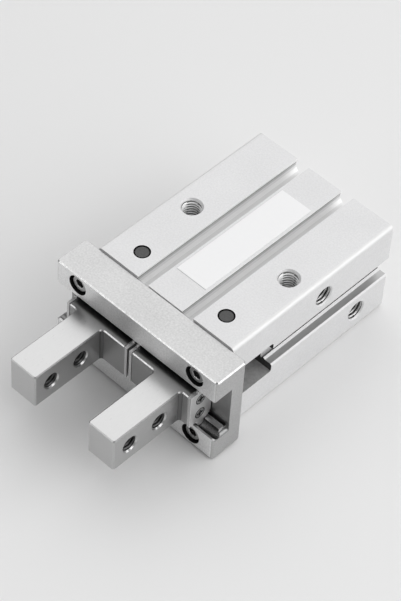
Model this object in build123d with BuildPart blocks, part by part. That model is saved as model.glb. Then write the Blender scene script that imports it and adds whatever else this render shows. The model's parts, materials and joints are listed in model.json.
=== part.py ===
"""Mini parallel gripper: a 20 mm air cylinder that drives two fingers apart and together.

The origin is the centre of the rear mounting face, on the cylinder's axis.
+Y points out of the rear face, the fingers point along -Y, +X is the side with the air ports, and +Z is up.
The fingers are drawn closed, which is the rest position. All sizes are in millimetres.
"""

import os
from math import asin, cos, degrees, sin, sqrt

from build123d import *

# Housing
body_width = 42.0
body_height = 27.6
body_length = 53.0
body_corner = 1.2
band_drop = 0.4
groove_offset = 6.95
groove_radius = 2.2
groove_mouth = 3.4
groove_depth = 1.95
slot_height = 5.4
slot_depth = 3.4
slot_lip = 2.0
slot_chamfer = 0.35
ridge_width = 1.1
ridge_height = 0.4
chamber_depth = 13.6
chamber_height = 9.8
chamber_corner = 0.6

# Guide across the front of the housing
guide_width = 50.0
guide_height = 26.5
guide_depth = 9.3
guide_front_corner = 0.8
guide_rear_corner = 1.0
guide_under_corner = 1.5
guide_chamfer = 0.3
lip_end_radius = 1.0
track_depth = 5.0
track_mouth = 13.0
track_height = 11.4
track_relief = 0.35

# Balls between the guide and the sliders
ball_diameter = 2.38
ball_setback = 1.6
ball_rise = 0.9
balls_per_row = 6
race_clearance = 0.04

# Fingers and their sliders
finger_height = 10.0
finger_thickness = 8.0
finger_reach = 20.5
finger_chamfer = 0.35
finger_root = 0.8
jaw_gap = 16.6
finger_stroke = 5.0
slider_length = 17.7
slider_proud = 2.0
slider_chamfer = 0.25
centre_gap = 0.7
plate_thickness = 0.7
plate_corner = 2.0
finger_thread = 4.0
finger_hole_end = 5.0
finger_hole_pitch = 9.0

# Levers that turn the piston's stroke through a right angle
pivot_inset = 7.9
pivot_setback = 5.9
shaft_diameter = 4.0
shaft_recess = 0.12
shaft_chamfer = 0.35
lever_reach = 12.4
rod_end_offset = 4.19
lever_boss = 3.8
lever_arm_thickness = 5.0
finger_end_radius = 2.5
finger_neck_radius = 1.7
rod_end_radius = 1.9
rod_neck_radius = 1.25

# Cylinder, piston and rod
bore_diameter = 20.0
bore_depth = 29.0
pilot_diameter = 21.0
pilot_depth = 1.5
land_length = 0.7
ring_groove_diameter = 21.8
ring_thickness = 1.0
ring_width = 1.5
ring_gap = 5.0
ring_eye = 0.7
ring_ear_radius = 1.4
cap_thickness = 4.5
cap_recess_diameter = 12.0
cap_recess_depth = 0.8
cap_seat_diameter = 20.6
gasket_section = 1.7
piston_length = 7.6
piston_setback = 11.0
seal_width = 2.2
seal_depth = 2.1
seal_lip = 0.55
magnet_width = 2.4
magnet_depth = 2.5
piston_land = 0.9
hub_diameter = 12.0
front_hub_length = 4.4
rear_hub_length = 1.1
rod_diameter = 8.0
spigot_diameter = 5.0
collar_thickness = 1.6
rod_stem_radius = 1.8
bumper_thickness = 2.0
bumper_diameter = 17.0
head_bumper_thickness = 1.8
rod_seal_diameter = 12.4
rod_seal_length = 2.5
rod_seal_lip = 0.6

# Threads and fasteners, at their outer diameters
mount_thread = 5.0
mount_thread_depth = 9.0
mount_drill = 4.2
mount_pitch = 30.2
mount_setback = 29.0
port_thread = 5.0
port_depth = 4.5
port_rise = 7.7
front_port_setback = 23.0
rear_port_setback = 10.0
passage_diameter = 1.6
passage_overrun = 1.0
rear_thread = 4.0
rear_thread_depth = 6.0
rear_pitch_x = 32.0
rear_pitch_z = 18.0
screw_pitch_x = 36.4
screw_pitch_z = 20.2
screw_thread = 2.5
screw_length = 12.5
screw_hole_depth = 8.0
screw_head_diameter = 4.5
screw_head_height = 2.5
screw_head_recess = 0.6
screw_socket = 2.0
screw_socket_depth = 1.3
screw_socket_chamfer = 0.15
screw_head_round = 0.35
counterbore_diameter = 5.3
plate_screw_pitch = 4.9
plate_screw_setback = 1.2
plate_screw_thread = 1.6
plate_screw_head = 3.0
plate_screw_length = 3.4
cross_length = 1.7
cross_width = 0.4
cross_depth = 0.35
dowel_diameter = 3.0
dowel_length = 7.6
dowel_rise = 9.4

# Label on the middle band of the top
label_width = 9.0
label_length = 34.8
label_setback = 9.9
label_thickness = 0.12

# Fits
running_clearance = 0.05
seat_clearance = 0.02
thread_chamfer = 0.3
slider_clearance = 0.3

# Places worked out from the sizes above, measured from the rear face or the middle plane
front_y = -body_length
guide_front_y = front_y - guide_depth
slider_front_y = guide_front_y - slider_proud
slider_rear_y = guide_front_y + track_depth - slider_clearance
finger_tip_y = slider_front_y - finger_reach
race_y = guide_front_y + ball_setback
race_z = finger_height / 2 + ball_rise
race_radius = ball_diameter / 2 + race_clearance
slider_inner_x = centre_gap / 2 + plate_thickness + seat_clearance
slider_outer_x = slider_inner_x + slider_length
finger_inner_x = jaw_gap / 2
finger_mid_x = finger_inner_x + finger_thickness / 2
pivot_offset = body_width / 2 - pivot_inset
pivot_y = front_y + pivot_setback
half_swing = asin(finger_stroke / 2 / lever_reach)
lever_throw = (pivot_offset - rod_end_offset) / cos(half_swing)
rod_groove_y = pivot_y + lever_throw * sin(half_swing)
rod_groove_half = rod_end_radius + running_clearance
piston_rear_y = -piston_setback
piston_front_y = piston_rear_y - piston_length
ring_groove_y = -(pilot_depth + land_length)
cap_rear_y = ring_groove_y - ring_thickness - 2 * seat_clearance
cap_front_y = cap_rear_y - cap_thickness
piston_radius = bore_diameter / 2 - running_clearance - seat_clearance
plate_height = track_height - 2 * slider_clearance
sides = {"left": -1, "right": 1}

os.makedirs("parts", exist_ok=True)


def save(piece, name):
    """Labels a finished piece and writes it as its own STEP file."""
    piece.label = name
    export_step(piece, f"parts/{name}.step")


def drill(x, y, z, towards):
    """A place on a face whose local +Z points out of the face, so that a hole there runs into it."""
    turns = {"+x": (0, 90, 0), "-x": (0, -90, 0), "+y": (-90, 0, 0), "-y": (90, 0, 0), "+z": (0, 0, 0), "-z": (180, 0, 0)}
    return Location((x, y, z), turns[towards])


def across(pitch_x, pitch_z, y, towards):
    """Four places at the corners of a rectangle round the cylinder's axis."""
    return [drill(sx * pitch_x / 2, y, sz * pitch_z / 2, towards) for sx in (-1, 1) for sz in (-1, 1)]


def round_bar(radius, from_y, to_y, mode=Mode.ADD):
    """A bar or a bore on the cylinder's axis, between two distances along it."""
    with BuildSketch(Plane.XZ.offset(-from_y)) as disc:
        Circle(radius)
    extrude(disc.sketch, amount=from_y - to_y, mode=mode)


# Housing: an extruded section with round sensor grooves above and below and a slot in each side
with BuildPart() as housing:
    with BuildSketch(Plane.XZ) as section:
        Rectangle(body_width, body_height)
        fillet(section.vertices(), body_corner)
        for face in (-1, 1):
            with Locations((0, face * (body_height / 2 - band_drop / 2))):
                Rectangle(2 * groove_offset, band_drop, mode=Mode.SUBTRACT)
            for side in (-1, 1):
                with Locations((side * groove_offset, face * (body_height / 2 - groove_depth))):
                    Circle(groove_radius, mode=Mode.SUBTRACT)
                with Locations((side * groove_offset, face * (body_height / 2 - groove_depth / 2))):
                    Rectangle(groove_mouth, groove_depth, mode=Mode.SUBTRACT)
        for side in (-1, 1):
            with Locations((side * (body_width - slot_depth) / 2, 0)):
                Rectangle(slot_depth, slot_height, mode=Mode.SUBTRACT)
            ridge_foot = side * (body_width / 2 - slot_lip)
            ridge_heel = side * (body_width / 2 - slot_lip - ridge_width)
            for face in (-1, 1):
                wall = face * slot_height / 2
                crest = face * (slot_height / 2 - ridge_height)
                with BuildLine():
                    Polyline(
                        (ridge_foot, wall),
                        ((ridge_foot + ridge_heel) / 2, crest),
                        (ridge_heel, wall),
                        close=True,
                    )
                make_face()
            lips = section.vertices().sort_by(Axis.X)[::-side][:4]
            chamfer(lips.sort_by(Axis.Y)[1:3], slot_chamfer)
    extrude(amount=body_length)

    # The levers' chamber is milled right across the front
    with BuildSketch(Plane.YZ) as chamber:
        with Locations((front_y, 0)):
            Rectangle(2 * chamber_depth, chamber_height)
        fillet(chamber.vertices().group_by(Axis.X)[-1], chamber_corner)
    extrude(amount=body_width, both=True, mode=Mode.SUBTRACT)

    # Cylinder, stepped down towards the front
    round_bar(pilot_diameter / 2, 0, -pilot_depth, Mode.SUBTRACT)
    round_bar(cap_seat_diameter / 2, 0, cap_front_y, Mode.SUBTRACT)
    round_bar(bore_diameter / 2, 0, -bore_depth, Mode.SUBTRACT)
    round_bar(ring_groove_diameter / 2, ring_groove_y, cap_rear_y, Mode.SUBTRACT)
    round_bar(rod_seal_diameter / 2, -bore_depth, -bore_depth - rod_seal_length, Mode.SUBTRACT)
    round_bar(rod_diameter / 2 + running_clearance, -bore_depth, front_y, Mode.SUBTRACT)

    # Mounting threads above, below and behind, and the holes for the lever shafts
    for side in (-1, 1):
        with Locations(Location((side * mount_pitch / 2, -mount_setback, 0))):
            Hole(mount_drill / 2)
        with Locations(Location((side * pivot_offset, pivot_y, 0))):
            Hole(shaft_diameter / 2 + seat_clearance)
        for face, towards in ((1, "+z"), (-1, "-z")):
            with Locations(drill(side * mount_pitch / 2, -mount_setback, face * body_height / 2, towards)):
                CounterSinkHole(mount_thread / 2, mount_thread / 2 + thread_chamfer, depth=mount_thread_depth)
    with Locations(*across(rear_pitch_x, rear_pitch_z, 0, "+y")):
        CounterSinkHole(rear_thread / 2, rear_thread / 2 + thread_chamfer, depth=rear_thread_depth)

    # Air ports, each with a passage into its end of the cylinder
    for setback, rise in ((front_port_setback, port_rise), (rear_port_setback, -port_rise)):
        with Locations(drill(body_width / 2, -setback, rise, "+x")):
            CounterSinkHole(port_thread / 2, port_thread / 2 + thread_chamfer, depth=port_depth)
            Hole(passage_diameter / 2, depth=body_width / 2 - sqrt((bore_diameter / 2) ** 2 - rise**2) + passage_overrun)

    # Threads and dowel holes that the guide is fastened to
    with Locations(*across(screw_pitch_x, screw_pitch_z, front_y, "-y")):
        Hole(screw_thread / 2 + seat_clearance, depth=screw_hole_depth)
    with Locations(*across(0, 2 * dowel_rise, front_y, "-y")[:2]):
        Hole(dowel_diameter / 2 + seat_clearance, depth=dowel_length / 2 + seat_clearance)
save(housing.part, "housing")

# Guide: a channel with a ball race in each lip and a window for each lever in its back wall
with BuildPart() as guide:
    with BuildSketch(Plane.YZ) as channel:
        with Locations(((guide_front_y + front_y) / 2, 0)):
            Rectangle(guide_depth, guide_height)
        with Locations((guide_front_y + track_depth / 2, 0)):
            Rectangle(track_depth, track_height, mode=Mode.SUBTRACT)
        with Locations((guide_front_y + ball_setback / 2, 0)):
            Rectangle(ball_setback, track_mouth, mode=Mode.SUBTRACT)
        with Locations((guide_front_y + track_depth - track_relief, 0)):
            Rectangle(2 * track_relief, track_height + 2 * track_relief, mode=Mode.SUBTRACT)
        with Locations((race_y, race_z), (race_y, -race_z)):
            Circle(race_radius, mode=Mode.SUBTRACT)
        chamfer(channel.vertices().group_by(Axis.X)[0].sort_by(Axis.Y)[0], guide_chamfer)
        fillet(channel.vertices().group_by(Axis.X)[-1].sort_by(Axis.Y)[0], guide_under_corner)
    extrude(amount=guide_width / 2, both=True)
    with BuildSketch(Plane.XY) as plan:
        with Locations((0, (guide_front_y + front_y) / 2)):
            Rectangle(guide_width, guide_depth)
        fillet(plan.vertices().group_by(Axis.Y)[0], guide_front_corner)
        fillet(plan.vertices().group_by(Axis.Y)[-1], guide_rear_corner)
    extrude(amount=guide_height, both=True, mode=Mode.INTERSECT)
    chamfer(guide.faces().sort_by(Axis.Z)[-1].edges(), guide_chamfer)
    for side in (-1, 1):
        for face in (-1, 1):
            end_x = side * guide_width / 2
            lip_z = face * track_mouth / 2
            with BuildSketch(Plane.XZ.offset(-guide_front_y)):
                with Locations((end_x, lip_z)):
                    Rectangle(2 * lip_end_radius, 2 * lip_end_radius)
                with Locations((end_x - side * lip_end_radius, lip_z + face * lip_end_radius)):
                    Circle(lip_end_radius, mode=Mode.SUBTRACT)
            extrude(amount=-track_depth, mode=Mode.SUBTRACT)
    for side in (-1, 1):
        with BuildSketch(Plane.XZ.offset(-front_y)):
            with Locations((side * pivot_offset, 0)):
                Rectangle(
                    finger_stroke + 2 * (finger_end_radius + slider_clearance),
                    lever_arm_thickness + 2 * slider_clearance,
                )
        extrude(amount=guide_depth - track_depth, mode=Mode.SUBTRACT)
    with Locations(*across(screw_pitch_x, screw_pitch_z, guide_front_y, "-y")):
        CounterBoreHole(
            screw_thread / 2 + running_clearance,
            counterbore_diameter / 2,
            screw_head_height + screw_head_recess,
            depth=guide_depth,
        )
    with Locations(*across(0, 2 * dowel_rise, front_y, "+y")[:2]):
        Hole(dowel_diameter / 2 + seat_clearance, depth=dowel_length / 2 + seat_clearance)
save(guide.part, "guide")

# Socket screws and dowels between the guide and the housing
with BuildPart() as guide_screws:
    seat_y = guide_front_y + screw_head_height + screw_head_recess
    for place in across(screw_pitch_x, screw_pitch_z, seat_y, "-y"):
        with BuildSketch(Plane(place)):
            Circle(screw_head_diameter / 2)
        extrude(amount=screw_head_height)
        with BuildSketch(Plane(place)):
            Circle(screw_thread / 2)
        extrude(amount=-screw_length)
        with BuildSketch(Plane(place).offset(screw_head_height)):
            RegularPolygon(screw_socket / 2, 6, major_radius=False)
        extrude(amount=-screw_socket_depth, mode=Mode.SUBTRACT)
    head_edges = guide_screws.edges().group_by(Axis.Y)[0]
    chamfer(head_edges.filter_by(GeomType.LINE), screw_socket_chamfer)
    fillet(guide_screws.edges().group_by(Axis.Y)[0].filter_by(GeomType.CIRCLE), screw_head_round)
save(guide_screws.part, "guide_screws")

with BuildPart() as guide_dowels:
    with BuildSketch(Plane.XZ.offset(-front_y)):
        with Locations((0, dowel_rise), (0, -dowel_rise)):
            Circle(dowel_diameter / 2)
    extrude(amount=dowel_length / 2, both=True)
save(guide_dowels.part, "guide_dowels")


def finger_slider(side):
    """A finger and its slider, one piece of steel, on the side given as -1 or 1."""
    with BuildPart() as finger:
        with BuildSketch(Plane.XY) as outline:
            with Locations((side * finger_mid_x, (finger_tip_y + slider_rear_y) / 2)):
                Rectangle(finger_thickness, slider_rear_y - finger_tip_y)
            with Locations((side * (slider_inner_x + slider_length / 2), (slider_front_y + slider_rear_y) / 2)):
                Rectangle(slider_length, slider_rear_y - slider_front_y)
            shoulders = outline.vertices().group_by(Axis.Y)[1].sort_by(Axis.X)
            chamfer(outline.vertices().group_by(Axis.Y)[0], finger_chamfer)
            chamfer(shoulders[::3], slider_chamfer)
            fillet(shoulders[1:3], finger_root)
        extrude(amount=finger_height / 2, both=True)
        rim = finger.faces().filter_by(Axis.Z).edges().sort_by(Axis.Y)
        chamfer(rim[:-2], slider_chamfer)
        with BuildSketch(Plane.YZ):
            with Locations((race_y, race_z), (race_y, -race_z)):
                Circle(race_radius)
        extrude(amount=side * guide_width, mode=Mode.SUBTRACT)
        end_x = side * (pivot_offset - lever_reach * sin(half_swing))
        slot_end_y = pivot_y - lever_reach - finger_end_radius - running_clearance
        with BuildSketch(Plane.XY):
            with Locations((end_x, (slot_end_y + slider_rear_y) / 2)):
                Rectangle(2 * (finger_end_radius + running_clearance), slider_rear_y - slot_end_y)
        extrude(amount=lever_arm_thickness / 2 + slider_clearance / 2, both=True, mode=Mode.SUBTRACT)
        for number in range(2):
            y = finger_tip_y + finger_hole_end + number * finger_hole_pitch
            for edge, towards in ((finger_inner_x, "-x"), (finger_inner_x + finger_thickness, "+x")):
                facing = towards if side > 0 else {"-x": "+x", "+x": "-x"}[towards]
                with Locations(drill(side * edge, y, 0, facing)):
                    CounterSinkHole(
                        finger_thread / 2, finger_thread / 2 + thread_chamfer, depth=finger_thickness / 2
                    )
        for edge, facing in ((slider_inner_x, -side), (slider_outer_x, side)):
            for place in plate_screw_places(side * edge, facing):
                with Locations(place):
                    Hole(plate_screw_thread / 2 + seat_clearance, depth=plate_screw_length)
    return finger.part


def plate_screw_places(x, facing):
    """The two screw places of an end plate whose face looks along facing, -1 or 1, on X."""
    y = guide_front_y + plate_screw_setback
    return [drill(x, y, rise, "+x" if facing > 0 else "-x") for rise in (-plate_screw_pitch / 2, plate_screw_pitch / 2)]


def end_plate(x, facing):
    """A plate that closes the ball races at one end of a slider. Its outer face is at x and looks along facing."""
    with BuildPart() as plate:
        with BuildSketch(Plane.YZ.offset(x)) as outline:
            with Locations(((slider_front_y + slider_rear_y) / 2, 0)):
                Rectangle(slider_rear_y - slider_front_y, finger_height)
            with Locations(((guide_front_y + slider_rear_y) / 2 + slider_clearance / 2, 0)):
                Rectangle(slider_rear_y - guide_front_y - slider_clearance, plate_height)
            fillet(outline.vertices().group_by(Axis.X)[-1], plate_corner)
            with Locations((race_y, race_z), (race_y, -race_z)):
                Circle(ball_diameter / 2 - slider_clearance / 2)
        extrude(amount=-facing * plate_thickness)
        for place in plate_screw_places(x, facing):
            with Locations(place):
                CounterSinkHole(
                    plate_screw_thread / 2 + seat_clearance,
                    plate_screw_head / 2 + seat_clearance,
                    depth=plate_thickness,
                )
    return plate.part


def plate_screws(side):
    """The four countersunk screws of one slider's two end plates, with crossed slots in their heads."""
    with BuildPart() as screws:
        inner_face = side * (slider_inner_x - seat_clearance - plate_thickness)
        outer_face = side * (slider_outer_x + seat_clearance + plate_thickness)
        for x, facing in ((inner_face, -side), (outer_face, side)):
            for place in plate_screw_places(x, facing):
                head = Plane(place)
                with BuildSketch(head):
                    Circle(plate_screw_thread / 2)
                extrude(amount=-plate_screw_length)
                with BuildSketch(head):
                    Circle(plate_screw_head / 2)
                with BuildSketch(head.offset(-(plate_screw_head - plate_screw_thread) / 2)):
                    Circle(plate_screw_thread / 2)
                loft()
                with BuildSketch(head):
                    Rectangle(cross_length, cross_width)
                    Rectangle(cross_width, cross_length)
                extrude(amount=-cross_depth, mode=Mode.SUBTRACT)
    return screws.part


def ball_row(side, face):
    """One row of balls, at the outer end of its race when the fingers are closed."""
    with BuildPart() as balls:
        last_x = slider_outer_x - ball_diameter / 2 - race_clearance
        for number in range(balls_per_row):
            with Locations((side * (last_x - number * (ball_diameter + race_clearance / 2)), race_y, face * race_z)):
                Sphere(ball_diameter / 2)
    return balls.part


def lever(side):
    """A bell crank: a boss on the pivot, one arm to the slider and one to the piston rod."""
    finger_end = (
        side * (pivot_offset - lever_reach * sin(half_swing)),
        pivot_y - lever_reach * cos(half_swing),
    )
    rod_end = (
        side * (pivot_offset - lever_throw * cos(half_swing)),
        pivot_y + lever_throw * sin(half_swing),
    )
    pivot = (side * pivot_offset, pivot_y)
    web_radius = lever_boss - slider_clearance
    with BuildPart() as crank:
        for end, neck_radius in ((finger_end, finger_neck_radius), (rod_end, rod_neck_radius)):
            with BuildSketch(Plane.XY) as arm:
                with Locations(pivot):
                    Circle(web_radius)
                with Locations(end):
                    Circle(neck_radius)
                make_hull()
            extrude(amount=lever_arm_thickness / 2, both=True)
        with BuildSketch(Plane.XY):
            with Locations(finger_end):
                Circle(finger_end_radius)
            with Locations(rod_end):
                Circle(rod_end_radius)
        extrude(amount=lever_arm_thickness / 2, both=True)
        with BuildSketch(Plane.XY):
            with Locations(pivot):
                Circle(lever_boss)
        extrude(amount=chamber_height / 2 - slider_clearance / 2, both=True)
        with Locations(Location((*pivot, 0))):
            Hole(shaft_diameter / 2 + running_clearance)
    return crank.part


def lever_shaft(side):
    """The pin that a lever turns on, held in the housing above and below, with chamfered ends."""
    with BuildPart() as shaft:
        with BuildSketch(Plane.XY):
            with Locations((side * pivot_offset, pivot_y)):
                Circle(shaft_diameter / 2)
        extrude(amount=body_height / 2 - shaft_recess, both=True)
        chamfer(shaft.edges().filter_by(GeomType.CIRCLE), shaft_chamfer)
    return shaft.part


for name, side in sides.items():
    save(finger_slider(side), f"{name}_finger")
    save(end_plate(side * (slider_inner_x - seat_clearance - plate_thickness), -side), f"{name}_inner_end_plate")
    save(end_plate(side * (slider_outer_x + seat_clearance + plate_thickness), side), f"{name}_outer_end_plate")
    save(plate_screws(side), f"{name}_plate_screws")
    save(ball_row(side, 1), f"{name}_upper_balls")
    save(ball_row(side, -1), f"{name}_lower_balls")
    save(lever(side), f"{name}_lever")
    save(lever_shaft(side), f"{name}_lever_shaft")

# Piston with a hub on each side and grooves for the seal and the magnet
seal_front_y = piston_front_y + piston_land
magnet_rear_y = piston_rear_y - piston_land
with BuildPart() as piston:
    round_bar(piston_radius, piston_rear_y, piston_front_y)
    round_bar(hub_diameter / 2, piston_rear_y + rear_hub_length, piston_front_y - front_hub_length)
    with BuildSketch(Plane.XZ.offset(-seal_front_y)):
        Circle(piston_radius)
        Circle(piston_radius - seal_depth, mode=Mode.SUBTRACT)
    extrude(amount=-seal_width, mode=Mode.SUBTRACT)
    with BuildSketch(Plane.XZ.offset(-magnet_rear_y)):
        Circle(piston_radius)
        Circle(piston_radius - magnet_depth, mode=Mode.SUBTRACT)
    extrude(amount=magnet_width, mode=Mode.SUBTRACT)
    round_bar(
        spigot_diameter / 2 + seat_clearance,
        piston_rear_y + rear_hub_length,
        piston_front_y - front_hub_length,
        Mode.SUBTRACT,
    )
save(piston.part, "piston")

# Rod: a stem and a collar at its front end make the groove that the levers' ends sit in
with BuildPart() as piston_rod:
    shoulder_y = rod_groove_y + rod_groove_half
    collar_y = rod_groove_y - rod_groove_half
    round_bar(spigot_diameter / 2, piston_rear_y + rear_hub_length, piston_front_y - front_hub_length)
    round_bar(rod_diameter / 2, piston_front_y - front_hub_length, shoulder_y)
    round_bar(rod_stem_radius, shoulder_y, collar_y)
    round_bar(rod_diameter / 2, collar_y, collar_y - collar_thickness)
save(piston_rod.part, "piston_rod")

# Piston seal, with the waist of a two-lipped section
with BuildPart() as piston_seal:
    seal_inner = piston_radius - seal_depth + seat_clearance
    seal_outer = bore_diameter / 2 - running_clearance / 2
    seal_rear_y = seal_front_y + seal_width - seat_clearance
    with BuildSketch(Plane.XY):
        with BuildLine():
            Polyline(
                (seal_inner, seal_rear_y),
                (seal_outer, seal_rear_y),
                (seal_outer - seal_lip, seal_front_y + seal_width / 2),
                (seal_outer, seal_front_y + seat_clearance),
                (seal_inner, seal_front_y + seat_clearance),
                close=True,
            )
        make_face()
    revolve(axis=Axis.Y)
save(piston_seal.part, "piston_seal")

with BuildPart() as piston_magnet:
    with BuildSketch(Plane.XZ.offset(-magnet_rear_y + seat_clearance)):
        Circle(piston_radius)
        Circle(piston_radius - magnet_depth + seat_clearance, mode=Mode.SUBTRACT)
    extrude(amount=magnet_width - 2 * seat_clearance)
save(piston_magnet.part, "piston_magnet")

# Rod seal in its seat at the front of the cylinder, with a lip against the rod
with BuildPart() as rod_seal:
    lip_radius = rod_diameter / 2 + running_clearance / 2
    seal_seat = rod_seal_diameter / 2 - seat_clearance
    with BuildSketch(Plane.XY):
        with BuildLine():
            Polyline(
                (seal_seat, -bore_depth),
                (seal_seat, -bore_depth - rod_seal_length),
                (lip_radius + rod_seal_lip, -bore_depth - rod_seal_length),
                (lip_radius, -bore_depth - rod_seal_length / 2),
                (lip_radius + rod_seal_lip, -bore_depth),
                close=True,
            )
        make_face()
    revolve(axis=Axis.Y)
save(rod_seal.part, "rod_seal")

with BuildPart() as rod_bumper:
    with BuildSketch(Plane.XZ.offset(bore_depth)):
        Circle(bumper_diameter / 2)
        Circle(rod_diameter / 2 + slider_clearance, mode=Mode.SUBTRACT)
    extrude(amount=-bumper_thickness)
    chamfer(rod_bumper.edges().sort_by(Axis.Y)[-1], thread_chamfer)
save(rod_bumper.part, "rod_bumper")

# End cap with its gasket, bumper and retaining ring
with BuildPart() as end_cap:
    round_bar(cap_seat_diameter / 2 - seat_clearance, cap_rear_y, cap_front_y)
    round_bar(cap_recess_diameter / 2, cap_rear_y, cap_rear_y - cap_recess_depth, Mode.SUBTRACT)
    gasket_y = (cap_rear_y + cap_front_y) / 2
    with BuildSketch(Plane.XZ.offset(-gasket_y)):
        Circle(cap_seat_diameter / 2)
        Circle(cap_seat_diameter / 2 - gasket_section - running_clearance, mode=Mode.SUBTRACT)
    extrude(amount=gasket_section / 2 + running_clearance, both=True, mode=Mode.SUBTRACT)
    chamfer(end_cap.edges().filter_by(GeomType.CIRCLE).sort_by(Axis.Y)[-1], thread_chamfer)
save(end_cap.part, "end_cap")

with BuildPart() as cap_gasket:
    with BuildSketch(Plane.XY):
        with Locations(((cap_seat_diameter - gasket_section) / 2 - seat_clearance, gasket_y)):
            Circle(gasket_section / 2)
    revolve(axis=Axis.Y)
save(cap_gasket.part, "cap_gasket")

with BuildPart() as head_bumper:
    round_bar(hub_diameter / 2, cap_front_y, cap_front_y - head_bumper_thickness)
    chamfer(head_bumper.edges().sort_by(Axis.Y)[0], thread_chamfer)
save(head_bumper.part, "head_bumper")

with BuildPart() as retaining_ring:
    ring_outer = ring_groove_diameter / 2 - running_clearance
    with BuildSketch(Plane.XZ.offset(-ring_groove_y + seat_clearance)):
        Circle(ring_outer)
        Circle(ring_outer - ring_width, mode=Mode.SUBTRACT)
        with Locations((0, -ring_outer)):
            Rectangle(ring_gap, 2 * ring_width + ring_outer / 2, mode=Mode.SUBTRACT)
        ears = [
            (side * (ring_gap / 2 + ring_ear_radius), -sqrt((ring_outer - ring_width) ** 2 - (ring_gap / 2 + ring_ear_radius) ** 2))
            for side in (-1, 1)
        ]
        with Locations(*ears):
            Circle(ring_ear_radius)
            Circle(ring_eye, mode=Mode.SUBTRACT)
    extrude(amount=ring_thickness)
save(retaining_ring.part, "retaining_ring")

# Blank label on the middle band
with BuildPart() as label:
    with BuildSketch(Plane.XY.offset(body_height / 2 - band_drop)):
        with Locations((0, -label_setback - label_length / 2)):
            Rectangle(label_width, label_length)
    extrude(amount=label_thickness)
save(label.part, "label")

print("finger travel", finger_stroke)
print("lever swing in degrees", round(degrees(2 * half_swing), 4))
print("piston travel", round(2 * lever_throw * sin(half_swing), 4))
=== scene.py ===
"""Looks, light and camera for the mini parallel gripper. Lengths are metres in the CAD model's frame."""

import json
import math

import bmesh
import bpy
from mathutils import Matrix, Vector


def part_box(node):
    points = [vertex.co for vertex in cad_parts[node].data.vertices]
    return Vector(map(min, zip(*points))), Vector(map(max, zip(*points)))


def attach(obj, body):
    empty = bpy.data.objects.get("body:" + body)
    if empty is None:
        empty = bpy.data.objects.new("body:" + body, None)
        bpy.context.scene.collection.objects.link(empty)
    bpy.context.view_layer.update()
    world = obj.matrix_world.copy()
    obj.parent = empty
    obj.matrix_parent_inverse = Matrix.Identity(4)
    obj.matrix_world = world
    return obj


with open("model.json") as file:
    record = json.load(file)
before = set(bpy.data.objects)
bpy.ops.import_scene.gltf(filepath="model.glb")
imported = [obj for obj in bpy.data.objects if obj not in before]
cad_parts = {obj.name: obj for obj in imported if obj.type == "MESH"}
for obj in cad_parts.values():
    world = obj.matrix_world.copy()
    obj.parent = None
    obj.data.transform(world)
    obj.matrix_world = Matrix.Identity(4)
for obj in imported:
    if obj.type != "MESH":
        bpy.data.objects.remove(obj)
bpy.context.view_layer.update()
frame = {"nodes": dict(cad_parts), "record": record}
nodes = frame["nodes"]

MM = 0.001
WHITE = (1.0, 1.0, 1.0, 1.0)
SIDES = ("left", "right")

# Places that the frame gives
house_low, house_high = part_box("housing")
guide_low, guide_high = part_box("guide")
screws_low, screws_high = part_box("guide_screws")
balls_low, balls_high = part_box("left_upper_balls")
block_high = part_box("left_finger")[1]
shaft_boxes = [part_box(side + "_lever_shaft") for side in SIDES]
guide_front = guide_low.y
screw_front = screws_low.y


# Node helpers


def link(tree, source, target):
    tree.links.new(source, target)


def add(tree, kind, **inputs):
    """Adds a node and sets its unlinked sockets by name."""
    node = tree.nodes.new(kind)
    for name, value in inputs.items():
        node.inputs[name.replace("_", " ")].default_value = value
    return node


def set_or_link(tree, socket, value):
    """Gives a socket a plain value, or links it where the value is an output socket."""
    if isinstance(value, (int, float, tuple)):
        socket.default_value = value
    else:
        link(tree, value, socket)


def maths(tree, operation, *values):
    """A Math node. Each value is a number or an output socket."""
    node = add(tree, "ShaderNodeMath")
    node.operation = operation
    for socket, value in zip(node.inputs, values):
        set_or_link(tree, socket, value)
    return node.outputs[0]


def vector_maths(tree, operation, *values):
    """A Vector Math node. Each value is a tuple or an output socket."""
    node = add(tree, "ShaderNodeVectorMath")
    node.operation = operation
    for socket, value in zip(node.inputs, values):
        set_or_link(tree, socket, value)
    return node


def shade_mix(tree, mode, factor, first, second):
    """A colour Mix node. factor, first and second are values or output sockets."""
    node = add(tree, "ShaderNodeMix")
    node.data_type = "RGBA"
    node.blend_type = mode
    sockets = {socket.identifier: socket for socket in node.inputs}
    set_or_link(tree, sockets["Factor_Float"], factor)
    set_or_link(tree, sockets["A_Color"], first)
    set_or_link(tree, sockets["B_Color"], second)
    return next(socket for socket in node.outputs if socket.identifier == "Result_Color")


def new_group(name, inputs, outputs):
    """A shader node group whose float inputs are name: default and whose outputs are name: kind."""
    group = bpy.data.node_groups.new(name, "ShaderNodeTree")
    for socket_name, default in inputs.items():
        socket = group.interface.new_socket(socket_name, in_out="INPUT", socket_type="NodeSocketFloat")
        socket.default_value = default
    for socket_name, kind in outputs.items():
        group.interface.new_socket(socket_name, in_out="OUTPUT", socket_type="NodeSocket" + kind)
    return group, add(group, "NodeGroupInput"), add(group, "NodeGroupOutput")


# Shared effects

FINE_SHARE = 0.75
BROAD_SCALE = 90.0
EDGE_NOISE_SCALE = 900.0
EDGE_NOISE_LEAST = 0.8
EDGE_NOISE_SPAN = 0.4
BEVEL_SAMPLES = 6


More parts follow.
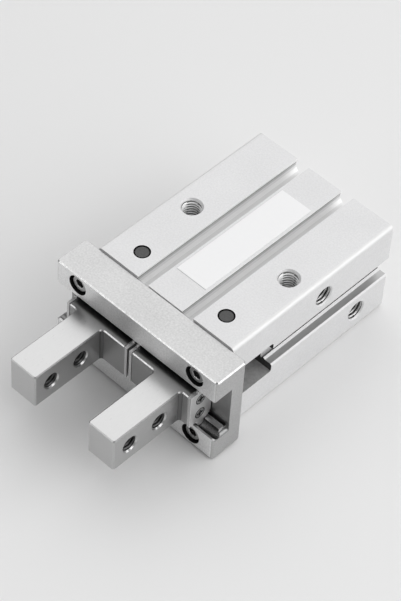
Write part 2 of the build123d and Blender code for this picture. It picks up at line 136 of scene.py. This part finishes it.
def make_grain_group():
    """Grain of a blasted or ground surface: a tint for the colour, a roughness and a height."""
    group, given, result = new_group(
        "Metal grain",
        {
            "Grain per mm": 2.5,
            "Stretch X": 1.0,
            "Stretch Y": 1.0,
            "Tone": 0.1,
            "Roughness": 0.4,
            "Spread": 0.1,
        },
        {"Tint": "Color", "Roughness": "Float", "Height": "Float"},
    )
    place = add(group, "ShaderNodeTexCoord").outputs["Object"]
    stretch = add(group, "ShaderNodeCombineXYZ", Z=1.0)
    link(group, given.outputs["Stretch X"], stretch.inputs["X"])
    link(group, given.outputs["Stretch Y"], stretch.inputs["Y"])
    stretched = vector_maths(group, "MULTIPLY", place, stretch.outputs[0])
    fine = add(group, "ShaderNodeTexNoise", Detail=3.0, Roughness=0.6)
    link(group, stretched.outputs[0], fine.inputs["Vector"])
    link(group, maths(group, "DIVIDE", given.outputs["Grain per mm"], MM), fine.inputs["Scale"])
    broad = add(group, "ShaderNodeTexNoise", Scale=BROAD_SCALE, Detail=2.0, Roughness=0.5)
    link(group, place, broad.inputs["Vector"])
    fine_part = maths(group, "MULTIPLY", fine.outputs["Fac"], FINE_SHARE)
    broad_part = maths(group, "MULTIPLY", broad.outputs["Fac"], 1 - FINE_SHARE)
    centred = maths(group, "SUBTRACT", maths(group, "ADD", fine_part, broad_part), 0.5)
    tint = maths(group, "ADD", 1.0, maths(group, "MULTIPLY", centred, given.outputs["Tone"]))
    tint_colour = add(group, "ShaderNodeCombineColor")
    for channel in ("Red", "Green", "Blue"):
        link(group, tint, tint_colour.inputs[channel])
    spread = maths(group, "MULTIPLY", centred, given.outputs["Spread"])
    link(group, tint_colour.outputs[0], result.inputs["Tint"])
    link(group, maths(group, "ADD", given.outputs["Roughness"], spread), result.inputs["Roughness"])
    link(group, fine.outputs["Fac"], result.inputs["Height"])
    return group


def make_edge_group():
    """How near a point is to an edge of the shape: 0 on a flat, 1 on the edge, broken up by noise. It
    places painted highlights and painted shade along edges.
    """
    inputs = {"Width": 0.2 * MM, "Sharpness": 6.0}
    group, given, result = new_group("Worn edges", inputs, {"Edge": "Float"})
    bevel = add(group, "ShaderNodeBevel")
    bevel.samples = BEVEL_SAMPLES
    link(group, given.outputs["Width"], bevel.inputs["Radius"])
    surface = add(group, "ShaderNodeNewGeometry")
    turn = vector_maths(group, "DOT_PRODUCT", bevel.outputs[0], surface.outputs["Normal"])
    bend = maths(group, "SUBTRACT", 1.0, turn.outputs["Value"])
    noise = add(group, "ShaderNodeTexNoise", Scale=EDGE_NOISE_SCALE, Detail=2.0)
    link(group, add(group, "ShaderNodeTexCoord").outputs["Object"], noise.inputs["Vector"])
    uneven = maths(group, "ADD", EDGE_NOISE_LEAST, maths(group, "MULTIPLY", noise.outputs["Fac"], EDGE_NOISE_SPAN))
    edge_strength = maths(group, "MULTIPLY", maths(group, "MULTIPLY", bend, given.outputs["Sharpness"]), uneven)
    clamped = maths(group, "MINIMUM", maths(group, "MAXIMUM", edge_strength, 0.0), 1.0)
    link(group, clamped, result.inputs["Edge"])
    return group


GRAIN = make_grain_group()
EDGES = make_edge_group()
GRAIN_HEIGHT = 0.05 * MM


def grey(value):
    return (value, value, value)


def finish_material(
    name,
    colour,
    metallic,
    roughness,
    grain=2.5,
    tone=0.1,
    spread=0.1,
    bump=0.02,
    edge_colour=None,
    edge_width=0.2 * MM,
    edge_sharpness=6.0,
    stretch=(1.0, 1.0),
    specular=0.5,
    shade_near_guide=None,
):
    """A material with grain in its colour, gloss and height, and an edge colour where given, light for
    painted highlights and dark for painted shade along edges.

    The painted shade near the guide is given as (start, end, tone): along Y from start to end the colour
    falls to tone.
    """
    material = bpy.data.materials.new(name)
    material.use_nodes = True
    tree = material.node_tree
    shader = tree.nodes["Principled BSDF"]
    shader.inputs["Metallic"].default_value = metallic
    shader.inputs["Specular IOR Level"].default_value = specular
    grain_node = add(tree, "ShaderNodeGroup")
    grain_node.node_tree = GRAIN
    grain_values = {
        "Grain per mm": grain,
        "Stretch X": stretch[0],
        "Stretch Y": stretch[1],
        "Tone": tone,
        "Roughness": roughness,
        "Spread": spread,
    }
    for socket, value in grain_values.items():
        grain_node.inputs[socket].default_value = value
    surface = shade_mix(tree, "MULTIPLY", 1.0, (*colour, 1.0), grain_node.outputs["Tint"])
    # Painted shade: the colour darkens along Y towards the guide.
    if shade_near_guide:
        start, end, shaded_tone = shade_near_guide
        split = add(tree, "ShaderNodeSeparateXYZ")
        link(tree, add(tree, "ShaderNodeTexCoord").outputs["Object"], split.inputs[0])
        film = add(tree, "ShaderNodeMapRange", From_Min=start, From_Max=end, To_Min=1.0, To_Max=shaded_tone)
        link(tree, split.outputs["Y"], film.inputs["Value"])
        surface = shade_mix(tree, "MULTIPLY", 1.0, surface, film.outputs["Result"])
    # Edge colour: a light one paints highlights along edges, a dark one paints shade.
    if edge_colour:
        edge_node = add(tree, "ShaderNodeGroup")
        edge_node.node_tree = EDGES
        edge_node.inputs["Width"].default_value = edge_width
        edge_node.inputs["Sharpness"].default_value = edge_sharpness
        surface = shade_mix(tree, "MIX", edge_node.outputs["Edge"], surface, (*edge_colour, 1.0))
    link(tree, surface, shader.inputs["Base Color"])
    link(tree, grain_node.outputs["Roughness"], shader.inputs["Roughness"])
    relief = add(tree, "ShaderNodeBump", Strength=bump, Distance=GRAIN_HEIGHT)
    link(tree, grain_node.outputs["Height"], relief.inputs["Height"])
    link(tree, relief.outputs[0], shader.inputs["Normal"])
    return material


# Finishes, one for each material slot of the record

# Painted shade on the fingers, darkest next to the guide, which shades them.
PAINTED_SHADE_NEAR_GUIDE = (guide_front - 4.5 * MM, guide_front + 0.5 * MM, 0.42)
FINGER_GRAIN = (1.0, 0.25)
# Painted highlights: near-white colour along edges.
EDGE_HIGHLIGHT = {"edge_colour": grey(1.0), "edge_width": 0.14 * MM, "edge_sharpness": 8.0}
FINE_EDGE = {"edge_width": 0.08 * MM, "edge_sharpness": 3.0}
BLASTED = {"grain": 2.2, "tone": 0.80, "spread": 0.15, "bump": 0.04}

finishes = {
    # Housing: the light edge colour is a painted highlight along its edges.
    "anodised_aluminium": finish_material(
        "satin anodised aluminium", (0.69, 0.69, 0.695), 0.25, 0.44, grain=2.4, tone=0.38, bump=0.05,
        edge_colour=grey(0.95), edge_width=0.25 * MM, edge_sharpness=2.0,
    ),
    # Guide steel: the light edge colour is a painted highlight.
    "ground_steel": finish_material(
        "fine blasted steel", grey(0.505), 1.0, 0.38, edge_colour=grey(0.8), **BLASTED, **FINE_EDGE,
    ),
    # Finger steel: painted highlights along its edges and painted shade towards the guide.
    "finger_steel": finish_material(
        "fine ground finger steel", grey(0.52), 1.0, 0.29, grain=3.5, tone=0.15, bump=0.04,
        stretch=FINGER_GRAIN, edge_colour=grey(0.9), shade_near_guide=PAINTED_SHADE_NEAR_GUIDE, **FINE_EDGE,
    ),
    "lever_steel": finish_material(
        "sintered lever steel", grey(0.30), 0.9, 0.5, grain=3.0, tone=0.6, bump=0.12,
    ),
    # End plates: painted highlights along edges.
    "plate_steel": finish_material(
        "pressed plate steel", grey(0.66), 1.0, 0.50, grain=4.0, tone=0.3, **EDGE_HIGHLIGHT,
    ),
    # The near-black edge colour round the pin end is painted shade of the gap round it.
    "pin_steel": finish_material(
        "hardened pin steel", grey(0.075), 0.85, 0.34, grain=2.6, tone=1.2, bump=0.05,
        edge_colour=grey(0.006), edge_width=0.25 * MM, edge_sharpness=12.0,
    ),
    # Painted shade: the balls near-black, as they sit in shade under the guide's lips.
    "ball_steel": finish_material(
        "polished ball steel", grey(0.035), 1.0, 0.12, grain=1.0, tone=0.05, bump=0.0,
    ),
    "spring_steel": finish_material(
        "phosphated spring steel", grey(0.06), 0.6, 0.45, grain=4.0, tone=0.4, bump=0.05,
    ),
    # Screws: painted highlights along edges.
    "black_screw_steel": finish_material(
        "plated screw steel", grey(0.16), 1.0, 0.26, grain=5.0, tone=0.3, bump=0.05, **EDGE_HIGHLIGHT,
    ),
    "seal_rubber": finish_material(
        "moulded seal rubber", grey(0.012), 0.0, 0.55, grain=8.0, tone=0.8, bump=0.1,
    ),
    "magnet_rubber": finish_material(
        "rubber bonded magnet", grey(0.05), 0.1, 0.6, grain=6.0, tone=0.8, bump=0.1,
    ),
    "label_film": finish_material(
        "blank label film", (0.86, 0.86, 0.865), 0.0, 0.38, grain=1.2, tone=0.04, bump=0.01,
    ),
}
for entry in frame["record"]["subparts"]:
    mesh = nodes[entry["node"]].data
    mesh.materials.clear()
    mesh.materials.append(finishes[entry["material_slot"]])

# Painted shade: near-black for bores, gaps, races and countersinks where shade falls.
painted_shade_black = finish_material(
    "black oxide bore", grey(0.008), 0.0, 0.6, grain=6.0, tone=0.4, bump=0.05, specular=0.1,
)
# Painted highlight on the narrow chamfers of the guide and the slider blocks.
chamfer_highlight = finish_material("burnished edge", grey(0.62), 1.0, 0.26, grain=1.5, tone=1.6, bump=0.02)


# Faces with a finish of their own, most of them painted light and shade

# A face is square to an axis where its normal has more than the first share of it, and runs along the axis
# where the normal has less than the second.
SQUARE = 0.95
LEANING = 0.1


def refinish(name, *looks):
    """Gives each (finish, chosen) to the faces of a node for which chosen(centre, normal) is true."""
    mesh = nodes[name].data
    place = nodes[name].matrix_world
    for finish, chosen in looks:
        mesh.materials.append(finish)
        for polygon in mesh.polygons:
            if chosen(place @ polygon.center, polygon.normal):
                polygon.material_index = len(mesh.materials) - 1


# Housing

GROOVE_OFFSET = 6.95 * MM
GROOVE_REACH = 2.25 * MM
GROOVE_DEPTH = 4.3 * MM
GROOVE_MOUTH = 0.45 * MM
LIP_DEPTH = 0.6 * MM
SLOT_DEPTH = 3.5 * MM
SLOT_HALF = 3.1 * MM
CHAMBER_LENGTH = 13.7 * MM
CHAMBER_HALF = 4.95 * MM
CHAMBER_STEEP = 0.6
CORNER_REACH = 1.3 * MM
SHAFT_GAP = 0.06 * MM
ALONG_Y = (1.0, 0.1)
DRAWN = {"grain": 3.0, "tone": 0.15, "bump": 0.02, "stretch": ALONG_Y}
SMOOTH = {"grain": 3.0, "tone": 0.05, "bump": 0.0}
MILLED = {"grain": 1.2, "tone": 0.9, "bump": 0.1}

# Painted shading of a round groove from its roof to its floor, each tone with the least slope of the wall
# that has it: dark under the lip, light where the wall faces up
GROOVE_SHADING = ((-1.0, 0.11), (-0.40, 0.34), (-0.10, 0.61), (0.20, 0.84), (0.45, 0.98), (0.82, 0.82))


def groove_wall(least_slope):
    """A test for the walls of the round grooves that lean outward by at least a slope, from -1 to 1."""

    def chosen(centre, normal):
        above = house_high.z - GROOVE_DEPTH < abs(centre.z) < house_high.z - GROOVE_MOUTH
        beside = abs(abs(centre.x) - GROOVE_OFFSET) < GROOVE_REACH
        slope = normal.z * math.copysign(1, centre.z)
        return above and beside and abs(normal.y) < SQUARE and slope >= least_slope

    return chosen


def on_groove_mouth(centre, normal):
    """Whether a face is one of the two straight walls at the mouth of a round groove."""
    above = abs(centre.z) > house_high.z - LIP_DEPTH
    beside = abs(abs(centre.x) - GROOVE_OFFSET) < GROOVE_REACH
    return above and beside and abs(normal.x) > SQUARE


def in_slot(centre):
    """Whether a place is in one of the long slots in the housing's sides."""
    return abs(centre.x) > house_high.x - SLOT_DEPTH and abs(centre.z) < SLOT_HALF


def on_slot_flat(centre, normal):
    """Whether a face is the flat floor or roof of a side slot."""
    return in_slot(centre) and abs(normal.z) > SQUARE


def behind_slot_ridge(centre, normal):
    """Whether a face of a side slot faces into the housing, behind the slot's small ridges."""
    return in_slot(centre) and normal.x * math.copysign(1, centre.x) < -LEANING


def in_chamber(centre, normal):
    """Whether a face is a wall of the milled chamber that the levers swing in."""
    inside = centre.y < house_low.y + CHAMBER_LENGTH and abs(centre.z) < CHAMBER_HALF
    return inside and abs(normal.x) < SQUARE


def on_chamber_wall(centre, normal):
    """Whether a face is a wall of the chamber, not its floor or roof."""
    return in_chamber(centre, normal) and abs(normal.z) < CHAMBER_STEEP


def in_shaft_hole(centre, normal):
    """Whether a face is the wall of one of the two lever shaft holes."""
    for low, high in shaft_boxes:
        reach = (high.x - low.x) / 2 + SHAFT_GAP
        middle = (low + high) / 2
        if math.hypot(centre.x - middle.x, centre.y - middle.y) < reach:
            return abs(normal.z) < SQUARE
    return False


def on_long_corner(centre, normal):
    """Whether a face is one of the housing's four long rounded corners."""
    beside = abs(centre.x) > house_high.x - CORNER_REACH
    above = abs(centre.z) > house_high.z - CORNER_REACH
    return beside and above and abs(normal.x) > LEANING and abs(normal.z) > LEANING


for number, (slope, shade) in enumerate(GROOVE_SHADING):
    groove_shading = finish_material(
        f"groove with painted shading {number + 1}", grey(shade), 0.25, 0.42, stretch=ALONG_Y, **SMOOTH,
    )
    refinish("housing", (groove_shading, groove_wall(slope)))
refinish(
    "housing",
    # Painted highlight on the straight walls at the mouth of each groove.
    (finish_material("lip of a groove", grey(0.95), 0.35, 0.40, **SMOOTH), on_groove_mouth),
    # Painted shade: slot floors darkened and the deep faces behind the ridges near-black.
    (finish_material("slot floor in aluminium", grey(0.44), 0.6, 0.35, **DRAWN), on_slot_flat),
    (finish_material("deep slot in aluminium", grey(0.06), 0.6, 0.40, **DRAWN), behind_slot_ridge),
    # Painted shade: the chamber floor darkened and its walls near-black, where shade falls inside.
    (finish_material("milled chamber floor", grey(0.40), 0.25, 0.44, **MILLED), in_chamber),
    (finish_material("milled chamber wall", grey(0.05), 0.4, 0.40, **MILLED), on_chamber_wall),
    (painted_shade_black, in_shaft_hole),
    (finish_material("drawn corner in aluminium", grey(0.72), 0.36, 0.36, **DRAWN), on_long_corner),
)


# Guide

EDGE_WIDTH = 0.28 * MM
HEAD_RADIUS = 2.25 * MM
COUNTERBORE_RADIUS = 2.75 * MM
CHANNEL_HALF = 5.7 * MM
CHANNEL_DEPTH = 5.1 * MM
LIP_END_REACH = 2.2 * MM
LIP_END_SLOPE = 0.15
RELIEF_START = 4.2 * MM
RELIEF_REACH = 0.5 * MM
RACE_REACH = 1.08
TOUCH = 0.1 * MM
ALONG_X = (0.1, 1.0)
GROUND = {"grain": 3.0, "tone": 0.3, "bump": 0.02}


def on_guide_rim(centre, normal):
    """Whether a face is one of the narrow chamfers round the guide's upper and lower faces."""
    return abs(centre.z) > guide_high.z - EDGE_WIDTH and abs(normal.z) < SQUARE


def on_guide_front(centre, normal):
    """Whether a face is one of the guide's flat front faces."""
    return normal.y < -SQUARE and centre.y < guide_front + TOUCH


def on_lip_flat(centre, normal):
    """Whether a face is the flat of the guide's channel between the ball race and the back wall."""
    in_place = abs(abs(centre.z) - CHANNEL_HALF) < TOUCH and centre.y < guide_front + CHANNEL_DEPTH
    return in_place and abs(normal.z) > SQUARE


def on_lip_end(centre, normal):
    """Whether a face of the guide is the rounding at the end of a lip."""
    in_place = abs(centre.z) < CHANNEL_HALF + LIP_END_REACH
    return in_place and abs(normal.x) > LIP_END_SLOPE and abs(normal.z) > LIP_END_SLOPE


def on_channel_back(centre, normal):
    """Whether a face is the guide's web, at the back of its channel."""
    in_place = centre.y > guide_front + RELIEF_START and abs(centre.z) < CHANNEL_HALF + RELIEF_REACH
    return in_place and normal.y < -SQUARE


def in_relief(centre, normal):
    """Whether a face of the guide lies in the small grooves in the channel's inner corners."""
    beyond = CHANNEL_HALF + TOUCH / 2 < abs(centre.z) < CHANNEL_HALF + RELIEF_REACH
    at_depth = guide_front + RELIEF_START < centre.y < guide_front + CHANNEL_DEPTH
    return beyond and at_depth and abs(normal.x) < LEANING


def from_screw_axis(centre):
    """Distance of a point from the axis of the nearest guide screw."""
    return math.hypot(
        abs(centre.x) - (screws_high.x - HEAD_RADIUS), abs(centre.z) - (screws_high.z - HEAD_RADIUS)
    )


def in_counterbore(centre, normal):
    """Whether a face of the guide is the wall or floor of a guide screw's counterbore."""
    on_front = abs(normal.y) > SQUARE and centre.y < screw_front
    return from_screw_axis(centre) < COUNTERBORE_RADIUS and not on_front


def in_race(centre, normal):
    """Whether a face lies in one of the round tracks that the balls run in."""
    middle = (balls_low + balls_high) / 2
    radius = (balls_high.y - balls_low.y) / 2
    from_axis = math.hypot(centre.y - middle.y, abs(centre.z) - (balls_high.z - radius))
    return from_axis < RACE_REACH * radius and abs(normal.x) < SQUARE


# Painted highlight: the flats of the channel far lighter than the guide steel.
channel_flat_highlight = finish_material(
    "ground flat of the channel", grey(0.90), 1.0, 0.30, stretch=ALONG_X, **GROUND,
)
# Painted shade on the web at the back of the channel.
web_shade = finish_material(
    "ground web", grey(0.33), 1.0, 0.38, grain=3.0, tone=0.4, bump=0.02, stretch=ALONG_Y,
)
refinish(
    "guide",
    (chamfer_highlight, on_guide_rim),
    # Painted light: the guide's front faces lighter than its other faces.
    (finish_material("ground front of the guide", grey(0.85), 1.0, 0.38, **BLASTED), on_guide_front),
    (channel_flat_highlight, on_lip_flat),
    # Painted shade on the rounded ends of the lips.
    (finish_material("rounded end of a lip", grey(0.30), 1.0, 0.38, **GROUND), on_lip_end),
    (web_shade, on_channel_back),
    (painted_shade_black, in_relief),
    (painted_shade_black, in_counterbore),
    # Painted shade in the guide's ball races.
    (finish_material("lapped race", grey(0.17), 1.0, 0.28, grain=3.0, tone=0.2, bump=0.01), in_race),
)


# Fingers

BLOCK_PROUD = 2.1 * MM
RIM_REACH = 0.3 * MM
ROOT_RADIUS = 0.9 * MM
ROOT_OVERLAP = 0.15 * MM
MATT = {"grain": 3.0, "tone": 0.3, "bump": 0.03}
block_front = guide_front - BLOCK_PROUD


def on_block_rim(centre, normal):
    """Whether a face is a narrow chamfer above or below a slider block, in front of the ball races."""
    in_front = block_front - TOUCH < centre.y < guide_front + RIM_REACH
    return in_front and abs(centre.z) > block_high.z - EDGE_WIDTH and abs(normal.z) < SQUARE


def on_block_front(centre, normal):
    """Whether a face of a finger is the front of its slider block."""
    return normal.y < -SQUARE and block_front < centre.y < guide_front


def on_root_fillet(centre, normal):
    """Whether a face of a finger is the hollow rounding between the finger and its slider block."""
    in_place = block_front - ROOT_RADIUS < centre.y < block_front + ROOT_OVERLAP
    return in_place and abs(normal.z) < LEANING and abs(normal.x) > LEANING and normal.y < -LEANING


def on_finger_edge(centre, normal):
    """Whether a face is one of the four long soft edges of a finger, in front of its slider block."""
    return centre.y < block_front and abs(normal.y) < LEANING < abs(normal.z) < SQUARE


# Painted shade: slider fronts, finger roots and the fingers' long edges darker than the finger steel.
block_front_shade = finish_material("ground front of a slider", grey(0.36), 1.0, 0.42, **MATT)
root_shade = finish_material("milled root of a finger", grey(0.15), 1.0, 0.45, **MATT)
finger_edge_shade = finish_material(
    "soft edge of a finger", grey(0.22), 1.0, 0.30, grain=2.0, tone=0.8, bump=0.02,
)
for side in SIDES:
    refinish(
        side + "_finger",
        (chamfer_highlight, on_block_rim),
        (block_front_shade, on_block_front),
        (root_shade, on_root_fillet),
        (finger_edge_shade, on_finger_edge),
        (painted_shade_black, in_race),
    )


# Screws, end plates and shafts

TURNED = {"grain": 4.0, "tone": 0.3, "bump": 0.02}
RIM_SHARE = 0.8
HEAD_FLAT = 0.97


def on_head_front(centre, normal):
    """Whether a face of the guide screws is the front of a head or the floor of its socket."""
    near_front = centre.y < screw_front + HEAD_RADIUS
    return near_front and abs(normal.y) > HEAD_FLAT and from_screw_axis(centre) < HEAD_RADIUS


def on_head_rim(centre, normal):
    """Whether a face of the guide screws is the rounded rim of a head."""
    near_front = centre.y < screw_front + HEAD_RADIUS
    off_axis = from_screw_axis(centre) > RIM_SHARE * HEAD_RADIUS
    return near_front and off_axis and abs(normal.y) < HEAD_FLAT


def on_countersink(centre, normal):
    """Whether a face of an end plate is the cone of a countersink or another slanted face."""
    return LEANING < abs(normal.x) < SQUARE


def on_plate_screw_face(centre, normal):
    """Whether a face is the flat of a plate screw's head or the floor of its recess."""
    return abs(normal.x) > SQUARE


def on_shaft_side(centre, normal):
    """Whether a face is the round side of a lever shaft."""
    return abs(normal.z) < SQUARE


# Painted light on the fronts of the guide screw heads, with painted highlights on their edges and rims.
lit_screw_head = finish_material(
    "plain screw head", grey(0.40), 1.0, 0.34,
    edge_colour=grey(1.0), edge_width=0.2 * MM, edge_sharpness=10.0, **TURNED,
)
head_rim_highlight = finish_material("bright head rim", grey(0.95), 1.0, 0.26, **GROUND)
refinish("guide_screws", (lit_screw_head, on_head_front), (head_rim_highlight, on_head_rim))
# Painted light on the plate screw faces, with painted shade as a near-black edge round them.
lit_screw_face = finish_material(
    "plain screw face", grey(0.48), 1.0, 0.42,
    edge_colour=grey(0.005), edge_width=0.42 * MM, edge_sharpness=16.0, **TURNED,
)
for side in SIDES:
    refinish(side + "_inner_end_plate", (painted_shade_black, on_countersink))
    refinish(side + "_outer_end_plate", (painted_shade_black, on_countersink))
    refinish(side + "_plate_screws", (lit_screw_face, on_plate_screw_face))
    refinish(side + "_lever_shaft", (painted_shade_black, on_shaft_side))


# Threads

STEPS_ROUND = 40
STEPS_PER_PITCH = 6
OUTER_GAP = 0.01 * MM
ROOT_FLAT = 0.15
FLANK = 0.7
ROOT_SHARE = 0.4
THREAD_START = 0.35 * MM
PORT_THREAD = 3.9 * MM
REAR_THREAD = 5.2 * MM
BODY_THREAD = 8.2 * MM
FINGER_THREAD = 7.3 * MM
M5 = {"radius": 2.5 * MM, "pitch": 0.8 * MM, "depth": 0.4 * MM}
M4 = {"radius": 2.0 * MM, "pitch": 0.7 * MM, "depth": 0.35 * MM}
CUT = {"grain": 4.0, "tone": 0.1, "bump": 0.02}

# Painted light and shade in the threads: crests lighter, roots darker, and port and finger threads
# darkened as painted shade.
thread_painted_tones = {
    "housing": (
        finish_material("thread crests in aluminium", grey(0.85), 0.3, 0.35, **CUT),
        finish_material("thread roots in aluminium", grey(0.16), 0.3, 0.45, **CUT),
    ),
    "port": (
        finish_material("thread crests in a port", grey(0.50), 0.8, 0.30, **CUT),
        finish_material("thread roots in a port", grey(0.04), 0.5, 0.45, **CUT),
    ),
    "finger": (
        finish_material("thread crests in steel", grey(0.11), 1.0, 0.45, **CUT),
        finish_material("thread roots in steel", grey(0.02), 0.8, 0.45, **CUT),
    ),
}


def cut_thread(name, mouth, into, radius, pitch, depth, length, body, slot, look):
    """A screw thread that lines a plain hole: a tube whose inner wall winds in and out.

    mouth is where the thread starts on the hole's axis, into its direction, and radius the hole's own.
    """
    rows = int(length / pitch * STEPS_PER_PITCH)
    angles = [2 * math.pi * step / STEPS_ROUND for step in range(STEPS_ROUND)]
    mesh_data = bmesh.new()
    place = Vector(into).to_track_quat("Z", "Y").to_matrix().to_4x4()
    place.translation = Vector(mouth)

    def from_root(turns):
        """0 at the middle of a root and 1 at the middle of a crest, where turns counts windings."""
        return abs(2 * (turns % 1.0) - 1)

    def wall(along, angle):
        """Distance of the inner wall from the axis. The thread fades in and out over one pitch."""
        fade = min(1.0, along / pitch, (length - along) / pitch)
        rise = (from_root(along / pitch - angle / (2 * math.pi)) - ROOT_FLAT) / FLANK
        return radius - depth * fade * min(1.0, max(0.0, rise))

    def ring(along, radii):
        return [
            mesh_data.verts.new(place @ Vector((reach * math.cos(angle), reach * math.sin(angle), along)))
            for angle, reach in zip(angles, radii)
        ]

    outer = [radius + OUTER_GAP] * STEPS_ROUND
    depths = [length * row / rows for row in range(rows + 1)]
    rings = [ring(0, outer)]
    rings += [ring(along, [wall(along, angle) for angle in angles]) for along in depths]
    rings += [ring(length, outer)]
    for row, (near, far) in enumerate(zip(rings, rings[1:] + rings[:1])):
        for step in range(STEPS_ROUND):
            after = (step + 1) % STEPS_ROUND
            face = mesh_data.faces.new((near[step], far[step], far[after], near[after]))
            height = from_root((row - 0.5) / STEPS_PER_PITCH - (step + 0.5) / STEPS_ROUND)
            # Crests take the lighter finish and roots the darker: painted light and shade.
            face.material_index = 1 if height < ROOT_SHARE else 0
    bmesh.ops.recalc_face_normals(mesh_data, faces=mesh_data.faces)
    data = bpy.data.meshes.new(name)
    mesh_data.to_mesh(data)
    mesh_data.free()
    for finish in thread_painted_tones[look]:
        data.materials.append(finish)
    piece = bpy.data.objects.new(name, data)
    bpy.context.scene.collection.objects.link(piece)
    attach(piece, body)


def cut_port_thread(mount, centre, axis):
    """The thread of one air port, from the housing's side inward."""
    mouth = Vector((house_high.x, centre.y, centre.z)) - axis * THREAD_START
    cut_thread(
        mount["name"] + "_thread", mouth, -axis, length=PORT_THREAD,
        body="housing", slot="anodised_aluminium", look="port", **M5,
    )


def cut_body_threads(mount, centre, axis):
    """The threads of a row or a square of mounting holes in the housing."""
    half_x = mount["dims"]["spacing_x_mm"] / 2 * MM
    half_z = mount["dims"].get("spacing_y_mm", 0) / 2 * MM
    rear = mount["name"] == "rear_threads"
    size, length = (M4, REAR_THREAD) if rear else (M5, BODY_THREAD)
    rows = (-half_z, half_z) if rear else (0,)
    spots = [(x, z) for x in (-half_x, half_x) for z in rows]
    for number, (x, z) in enumerate(spots):
        mouth = centre + Vector((x, 0, z)) - axis * THREAD_START
        cut_thread(
            f"{mount['name']}_{number + 1}", mouth, -axis, length=length,
            body="housing", slot="anodised_aluminium", look="housing", **size,
        )


def cut_finger_threads(mount, centre, axis):
    """The two threads of one finger."""
    finger = mount["name"].replace("_threads", "")
    half = mount["dims"]["spacing_x_mm"] / 2 * MM
    for number, y in enumerate((-half, half)):
        mouth = centre + Vector((0, y, 0)) - axis * THREAD_START
        cut_thread(
            f"{finger}_thread_{number + 1}", mouth, -axis, length=FINGER_THREAD,
            body=finger, slot="finger_steel", look="finger", **M4,
        )


for mount in frame["record"]["mounts"]:
    centre = Vector(mount["pos_m"])
    axis = Vector(mount["axis"])
    if mount["kind"] == "threaded_hole":
        cut_port_thread(mount, centre, axis)
    elif mount["name"] in ("top_threads", "bottom_threads", "rear_threads"):
        cut_body_threads(mount, centre, axis)
    elif mount["name"].endswith("finger_threads"):
        cut_finger_threads(mount, centre, axis)


# Floor, world and lights

FLOOR_SIZE = 12.0
FLOOR_GAP = 0.05 * MM
FLOOR_PAPER = 0.80
DOME_LOW = 0.25
DOME_HIGH = 0.90
DOME_START = 0.3
OVERHEAD = (-0.43, 0.50, 0.75)
LIT_POINT = Vector((0, -40 * MM, 0))

# Name, direction, distance, width, height and brightness. A mirror shows a brightness of 1 as white.
LAMPS = (
    ("overhead bank", OVERHEAD, 0.7, 0.8, 0.6, 0.6),
    ("front strip", (-0.43, -0.75, 0.50), 0.7, 0.6, 0.14, 1.7),
    ("right bank", (0.85, 0.38, 0.40), 1.0, 1.6, 1.1, 1.65),
    ("high bank", (0.45, -0.10, 0.88), 0.7, 0.5, 0.5, 0.8),
)


def make_floor():
    """A plain floor of pale paper, which keeps the object's shadow."""
    bpy.ops.mesh.primitive_plane_add(size=FLOOR_SIZE, location=(0, 0, house_low.z - FLOOR_GAP))
    floor = bpy.context.object
    floor.name = "floor"
    material = bpy.data.materials.new("floor paper")
    material.use_nodes = True
    shader = material.node_tree.nodes["Principled BSDF"]
    shader.inputs["Base Color"].default_value = (*grey(FLOOR_PAPER), 1.0)
    shader.inputs["Roughness"].default_value = 1.0
    shader.inputs["Specular IOR Level"].default_value = 0.0
    floor.data.materials.append(material)


def make_world():
    """A soft white dome, brightest behind and above the object."""
    world = bpy.data.worlds.new("studio")
    bpy.context.scene.world = world
    world.use_nodes = True
    tree = world.node_tree
    tree.nodes.clear()
    direction = add(tree, "ShaderNodeTexCoord").outputs["Generated"]
    towards = vector_maths(tree, "DOT_PRODUCT", direction, OVERHEAD)
    height = add(
        tree, "ShaderNodeMapRange", From_Min=DOME_START, From_Max=1.0, To_Min=DOME_LOW, To_Max=DOME_HIGH,
    )
    height.interpolation_type = "SMOOTHSTEP"
    link(tree, towards.outputs["Value"], height.inputs["Value"])
    dome = add(tree, "ShaderNodeBackground", Color=WHITE)
    link(tree, height.outputs[0], dome.inputs["Strength"])
    link(tree, dome.outputs[0], add(tree, "ShaderNodeOutputWorld").inputs["Surface"])


def softbox(name, direction, distance, width, height, brightness):
    """An area light that faces the object from a direction."""
    lamp = bpy.data.lights.new(name, "AREA")
    lamp.shape = "RECTANGLE"
    lamp.size = width
    lamp.size_y = height
    lamp.energy = brightness * math.pi * width * height
    holder = bpy.data.objects.new(name, lamp)
    bpy.context.scene.collection.objects.link(holder)
    towards = Vector(direction).normalized()
    holder.location = LIT_POINT + towards * distance
    holder.rotation_euler = towards.to_track_quat("Z", "Y").to_euler()


make_floor()
make_world()
for lamp_values in LAMPS:
    softbox(*lamp_values)


# Camera, placed to give the corners and hole centres the places that they have in the photo

CAMERA_PLACE = Vector((239.815, -317.191, 423.195)) * MM
AZIMUTH = -49.023
ELEVATION = 48.951
ROLL = 4.024
LENS = 147.1
SENSOR = 36.0


def turn(degrees, axis):
    """A turn about one axis, as a matrix."""
    return Matrix.Rotation(math.radians(degrees), 4, axis)


camera = bpy.data.objects.new("camera", bpy.data.cameras.new("camera"))
camera.data.lens = LENS
camera.data.sensor_width = SENSOR
camera.data.clip_start = 10 * MM
aim = turn(90 + AZIMUTH, "Z") @ turn(90 - ELEVATION, "X") @ turn(ROLL, "Z")
camera.matrix_world = Matrix.Translation(CAMERA_PLACE) @ aim
bpy.context.scene.collection.objects.link(camera)
bpy.context.scene.camera = camera
bpy.context.scene.view_settings.view_transform = "Standard"
